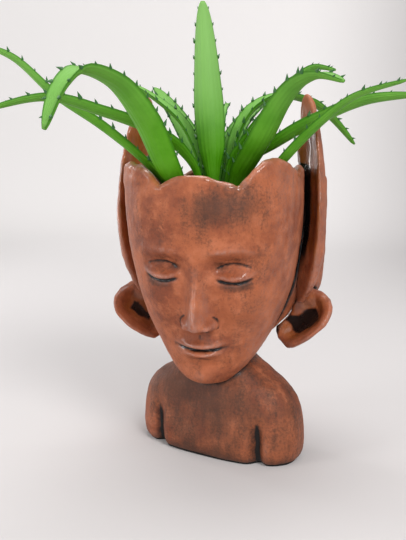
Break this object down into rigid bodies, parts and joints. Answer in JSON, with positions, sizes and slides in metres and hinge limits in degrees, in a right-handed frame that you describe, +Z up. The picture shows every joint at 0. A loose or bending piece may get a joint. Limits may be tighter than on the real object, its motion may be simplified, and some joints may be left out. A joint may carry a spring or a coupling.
{
  "type": "head planter",
  "caption": "Plant pot shaped as a bowed head with closed eyes on a small bust, petalled rim, side locks, and a lift-out artificial aloe in a foam block.",
  "frame": {"origin": "middle of the flat underside of the base pad, on the surface that the planter stands on", "axes": "+Z up, the head looks along -Y, +X is the viewer's right"},
  "size_m": [0.3159, 0.2618, 0.3577],
  "materials": {
    "fired_clay": "satin, dark wash in the recesses",
    "felt": "thin felt",
    "dry_foam": "dry floral foam",
    "stem": "moulded",
    "leaf": "soft satin"
  },
  "bodies": {
    "pot": {"base_pad": "felt", "bust": "fired_clay", "head_pot": "fired_clay", "back_hair": "fired_clay", "left_ear": "fired_clay", "right_ear": "fired_clay", "left_front_lock": "fired_clay", "right_front_lock": "fired_clay", "left_rear_lock": "fired_clay", "right_rear_lock": "fired_clay"},
    "foam": {"foam_block": "dry_foam"},
    "plant": {"plant_stem": "stem", "leaf_centre": "leaf", "leaf_front_left": "leaf", "leaf_front_right": "leaf", "leaf_long_left": "leaf", "leaf_low_left": "leaf", "leaf_thin_left": "leaf", "leaf_short_left": "leaf", "leaf_second_right": "leaf", "leaf_long_right": "leaf", "leaf_low_right": "leaf", "leaf_short_right": "leaf", "leaf_back_right": "leaf", "leaf_crown_tip": "leaf"}
  },
  "joints": [
    {"name": "foam_lift", "type": "slide", "parent": "pot", "child": "foam", "axis": [0, 0, 1], "range_m": [0, 0.13]},
    {"name": "plant_pull", "type": "slide", "parent": "foam", "child": "plant", "axis": [0, 0, 1], "range_m": [0, 0.06]}
  ]
}
